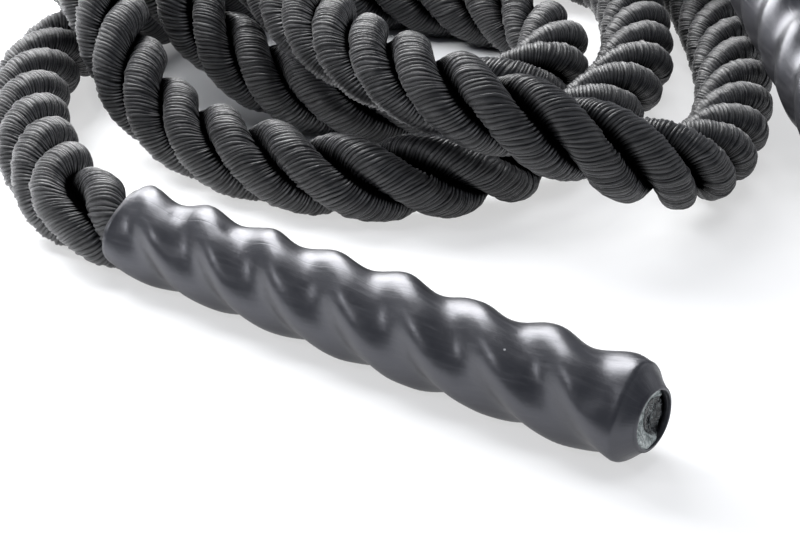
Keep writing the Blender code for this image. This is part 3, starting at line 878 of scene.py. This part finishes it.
def sleeve_finish():
    """Black shrunk plastic with a soft sheen, a crease, scuffs, pale specks and a painted highlight on
    the ragged mouth.
    """
    finish = Finish("black_shrunk_sleeve")
    plain = finish.place()
    along, turned = finish.pair("sheet")
    mottle = finish.noise(plain, 90.0, 4.0, 0.6)
    grain = finish.noise(plain, 1000.0, 3.0, 0.6)
    scuffs = finish.noise(finish.spread(along, 60.0, turned, 46.0), 1.0, 6.0, 0.68)
    worn = finish.ramp(scuffs, ((0.50, 0.0), (0.70, 1.0)))
    specks = finish.tree.nodes.new("ShaderNodeTexVoronoi")
    finish.join(plain, specks.inputs["Vector"])
    specks.inputs["Scale"].default_value = 210.0
    chosen = finish.noise(plain, 45.0, 1.0)
    near = finish.maths("LESS_THAN", specks.outputs["Distance"], 0.085)
    dots = finish.maths("MULTIPLY", near, finish.maths("GREATER_THAN", chosen, 0.63))
    bend = finish.maths("MULTIPLY", finish.maths("SUBTRACT", scuffs, 0.5), 0.010)
    offset = finish.maths("ADD", finish.maths("SUBTRACT", turned, 0.296), bend)
    crease = finish.maths("DIVIDE", finish.maths("ABSOLUTE", offset), 0.0035)
    crease = finish.maths("SUBTRACT", 1.0, finish.maths("MINIMUM", crease, 1.0))
    reach = finish.ramp(along, ((0.0, 0.3), (0.02, 1.0), (0.09, 0.7), (0.13, 0.0)))
    crease = finish.maths("MULTIPLY", crease, reach)
    # Painted highlight: a pale ragged band at the cut mouth, where its lit cut edge shows.
    torn = finish.maths("MULTIPLY", finish.noise(plain, 420.0, 3.0, 0.7), 0.0050)
    mouth_painted_highlight = finish.ramp(finish.maths("ADD", along, torn), ((0.0016, 1.0), (0.0034, 0.0)))
    base = finish.ramp(mottle, ((0.3, (0.016, 0.016, 0.018)), (0.75, (0.028, 0.028, 0.031))))
    # Pale wear from the scuffs, a pale crease, and the painted highlight at the mouth.
    pale = finish.maths("MULTIPLY", worn, 0.30)
    pale = finish.maths("MAXIMUM", pale, finish.maths("MULTIPLY", mouth_painted_highlight, 0.8))
    pale = finish.maths("MAXIMUM", pale, finish.maths("MULTIPLY", crease, 0.10))
    wear_and_mouth_highlight_base = finish.mix(pale, base, (0.085, 0.085, 0.090, 1.0))
    # Painted highlight: the band at the mouth is lightened further towards the specks' grey.
    dots = finish.maths("MAXIMUM", dots, finish.maths("MULTIPLY", mouth_painted_highlight, 0.22))
    finish.set("Base Color", finish.mix(dots, wear_and_mouth_highlight_base, (0.40, 0.40, 0.40, 1.0)))
    rough = finish.ramp(mottle, ((0.2, 0.31), (0.8, 0.40)))
    finish.set("Roughness", finish.maths("ADD", rough, finish.maths("MULTIPLY", worn, 0.12)))
    finish.set("Specular IOR Level", 0.85)
    finish.set("Specular Tint", (0.90, 0.91, 1.0, 1.0))
    finish.set("IOR", 1.6)
    first = finish.bump(mottle, 0.30, 0.0004)
    cut = finish.maths("SUBTRACT", scuffs, finish.maths("MULTIPLY", crease, 0.35))
    second = finish.bump(cut, 0.30, 0.00030, first)
    finish.set("Normal", finish.bump(grain, 0.25, 0.00008, second))
    return finish.made


def glue_finish():
    """Cloudy glue run round the cut rope: pale outside, a bright edge, then dark fibres with pale curly
    lines painted on them as highlights.
    """
    finish = Finish("cloudy_glue")
    marks = finish.add("ShaderNodeUVMap", uv_map="disc")
    plain = finish.place()
    wave = finish.noise(plain, 500.0, 2.0, 0.5)
    away = finish.add("ShaderNodeVectorMath", operation="DISTANCE")
    finish.tree.links.new(marks.outputs["UV"], away.inputs[0])
    away.inputs[1].default_value = (*DISC_PLACE, 0.0)
    radius = finish.maths("ADD", away.outputs["Value"], finish.maths("MULTIPLY", wave, 0.10))
    edge = finish.ramp(radius, ((0.65, 0.0), (0.69, 1.0), (0.72, 1.0), (0.77, 0.0)))
    inside = finish.ramp(radius, ((0.64, 1.0), (0.69, 0.0)))
    cells = finish.tree.nodes.new("ShaderNodeTexVoronoi")
    cells.feature = "DISTANCE_TO_EDGE"
    bent = finish.add("ShaderNodeVectorMath", operation="ADD")
    finish.tree.links.new(plain, bent.inputs[0])
    warp = finish.tree.nodes.new("ShaderNodeTexNoise")
    finish.tree.links.new(plain, warp.inputs["Vector"])
    warp.inputs["Scale"].default_value = 450.0
    scaled = finish.add("ShaderNodeVectorMath", operation="SCALE")
    finish.tree.links.new(warp.outputs["Color"], scaled.inputs[0])
    scaled.inputs["Scale"].default_value = 0.0022
    finish.tree.links.new(scaled.outputs[0], bent.inputs[1])
    finish.tree.links.new(bent.outputs[0], cells.inputs["Vector"])
    cells.inputs["Scale"].default_value = 620.0
    # Painted highlight: pale wavy lines on the dark fibres seen through the glue.
    curly_fibre_highlights = finish.ramp(cells.outputs["Distance"], ((0.02, 1.0), (0.16, 0.0)))
    curly_fibre_highlights = finish.maths("MULTIPLY", curly_fibre_highlights, finish.ramp(wave, ((0.35, 0.2), (0.65, 1.0))))
    clouds = finish.noise(plain, 260.0, 4.0, 0.6)
    ring = finish.ramp(
        clouds,
        ((0.30, (0.24, 0.27, 0.26)), (0.55, (0.42, 0.47, 0.45)), (0.75, (0.62, 0.67, 0.65))),
    )
    # The dark fibres, lightened along their painted highlights.
    dark = finish.ramp(
        curly_fibre_highlights,
        ((0.0, (0.010, 0.011, 0.012)), (0.6, (0.11, 0.12, 0.12)), (1.0, (0.32, 0.35, 0.34))),
    )
    both = finish.mix(inside, ring, dark)
    rimmed = finish.mix(finish.maths("MULTIPLY", edge, 0.85), both, (0.55, 0.60, 0.58, 1.0))
    finish.set("Base Color", rimmed)
    finish.set("Roughness", 0.20)
    finish.set("Coat Weight", 0.4)
    finish.set("Coat Roughness", 0.08)
    finish.set("Normal", finish.bump(finish.maths("ADD", clouds, curly_fibre_highlights), 0.8, 0.0006))
    return finish.made


# ---------------------------------------------------------------- floor and light

def pale_floor():
    """A white floor that keeps the rope's soft shadows, with painted shade darkening it in the middle of
    the pile.
    """
    deselect()
    bpy.ops.mesh.primitive_plane_add(size=FLOOR_SIZE, location=(0.0, 0.0, 0.0))
    floor = bpy.context.object
    floor.name = "floor"
    made = bpy.data.materials.new("white_floor")
    made.use_nodes = True
    tree = made.node_tree
    tree.nodes.remove(tree.nodes["Principled BSDF"])
    where = tree.nodes.new("ShaderNodeTexCoord")
    away = tree.nodes.new("ShaderNodeVectorMath")
    away.operation = "DISTANCE"
    away.inputs[1].default_value = PILE_MIDDLE
    tree.links.new(where.outputs["Object"], away.inputs[0])
    # Painted shade: 0 under the middle of the pile, 1 clear of it.
    clear = tree.nodes.new("ShaderNodeMapRange")
    clear.inputs["From Min"].default_value = PILE_SHADE_REACH[0]
    clear.inputs["From Max"].default_value = PILE_SHADE_REACH[1]
    tree.links.new(away.outputs["Value"], clear.inputs["Value"])
    tone = tree.nodes.new("ShaderNodeValToRGB")
    tone.color_ramp.elements[0].color = PILE_PAINTED_SHADE
    tone.color_ramp.elements[1].color = FLOOR_TONE
    tree.links.new(clear.outputs["Result"], tone.inputs[0])
    diffuse = tree.nodes.new("ShaderNodeBsdfDiffuse")
    tree.links.new(tone.outputs["Color"], diffuse.inputs["Color"])
    glow = tree.nodes.new("ShaderNodeEmission")
    glow.inputs["Color"].default_value = WHITE
    path = tree.nodes.new("ShaderNodeLightPath")
    seen = tree.nodes.new("ShaderNodeMath")
    seen.operation = "MAXIMUM"
    tree.links.new(path.outputs["Is Camera Ray"], seen.inputs[0])
    tree.links.new(path.outputs["Is Glossy Ray"], seen.inputs[1])
    shine = tree.nodes.new("ShaderNodeMath")
    shine.operation = "MULTIPLY_ADD"
    shine.inputs[1].default_value = -FLOOR_GLOW_LOSS
    shine.inputs[2].default_value = FLOOR_GLOW
    tree.links.new(path.outputs["Is Glossy Ray"], shine.inputs[0])
    tree.links.new(shine.outputs[0], glow.inputs["Strength"])
    share = tree.nodes.new("ShaderNodeMath")
    share.operation = "MULTIPLY"
    share.inputs[1].default_value = FLOOR_GLOW_SHARE
    tree.links.new(seen.outputs[0], share.inputs[0])
    # Painted shade: the glow is taken away under the middle of the pile, so that the floor there shows
    # only its darker tone.
    glow_outside_painted_shade = tree.nodes.new("ShaderNodeMath")
    glow_outside_painted_shade.operation = "MULTIPLY"
    tree.links.new(share.outputs[0], glow_outside_painted_shade.inputs[0])
    tree.links.new(clear.outputs["Result"], glow_outside_painted_shade.inputs[1])
    mix = tree.nodes.new("ShaderNodeMixShader")
    tree.links.new(glow_outside_painted_shade.outputs[0], mix.inputs[0])
    tree.links.new(diffuse.outputs[0], mix.inputs[1])
    tree.links.new(glow.outputs[0], mix.inputs[2])
    tree.links.new(mix.outputs[0], tree.nodes["Material Output"].inputs["Surface"])
    floor.data.materials.append(made)


def soft_light(name, place, aim, size, power):
    """A white rectangular lamp at a place, turned to a point."""
    data = bpy.data.lights.new(name, "AREA")
    data.shape = "RECTANGLE"
    data.size, data.size_y = size
    data.energy = power
    lamp = bpy.data.objects.new(name, data)
    bpy.context.scene.collection.objects.link(lamp)
    lamp.location = place
    way = Vector(aim) - Vector(place)
    lamp.rotation_euler = way.to_track_quat("-Z", "Y").to_euler()
    return lamp


def studio():
    """A room that the camera sees as white, with a faintly blue light, and the lamps."""
    world = bpy.data.worlds.new("white_room")
    bpy.context.scene.world = world
    world.use_nodes = True
    tree = world.node_tree
    ground = tree.nodes["Background"]
    ground.inputs["Color"].default_value = ROOM_TONE
    white = tree.nodes.new("ShaderNodeBackground")
    white.inputs["Color"].default_value = WHITE
    path = tree.nodes.new("ShaderNodeLightPath")
    mix = tree.nodes.new("ShaderNodeMixShader")
    dim = tree.nodes.new("ShaderNodeMath")
    dim.operation = "MULTIPLY_ADD"
    dim.inputs[1].default_value = -ROOM_LIGHT_LOSS
    dim.inputs[2].default_value = ROOM_LIGHT
    tree.links.new(path.outputs["Is Glossy Ray"], dim.inputs[0])
    tree.links.new(dim.outputs[0], ground.inputs["Strength"])
    tree.links.new(path.outputs["Is Camera Ray"], mix.inputs[0])
    tree.links.new(ground.outputs[0], mix.inputs[1])
    tree.links.new(white.outputs[0], mix.inputs[2])
    tree.links.new(mix.outputs[0], tree.nodes["World Output"].inputs["Surface"])
    soft_light("back_softbox", (-0.74, 0.36, 0.60), (-0.12, -0.10, 0.0), (0.62, 0.85), 13.5)
    fill = soft_light("left_fill", (-0.50, -0.07, 0.28), (-0.22, -0.06, 0.0), (0.25, 0.25), 6.0)
    top = soft_light("top_softbox", (0.1, -0.1, 1.3), (-0.05, 0.0, 0.0), (0.8, 0.8), 6.0)
    fill.visible_glossy = top.visible_glossy = False
    soft_light("small_front_lamp", (-0.75, -0.95, 0.75), (-0.02, -0.1, 0.0), (0.18, 0.18), 2.3)
    soft_light("right_softbox", (0.64, 0.77, 0.58), (0.10, -0.14, 0.02), (0.7, 0.7), 1.2)
    bpy.context.scene.view_settings.view_transform = "Standard"


def main():
    """Dress the solid model."""
    aim_camera()
    lay_rope(yarn_finish())
    looks = {"sleeve": sleeve_finish(), "glue": glue_finish(), "inside": inside_finish()}
    dress_handle("front", Vector(ROUTE[0]), FRONT_HEADING, FRONT_TILT, FRONT_PHASE, 11, looks)
    dress_handle("rear", Vector(ROUTE[-1]), REAR_HEADING, REAR_TILT, REAR_PHASE, 12, looks)
    pale_floor()
    studio()


main()
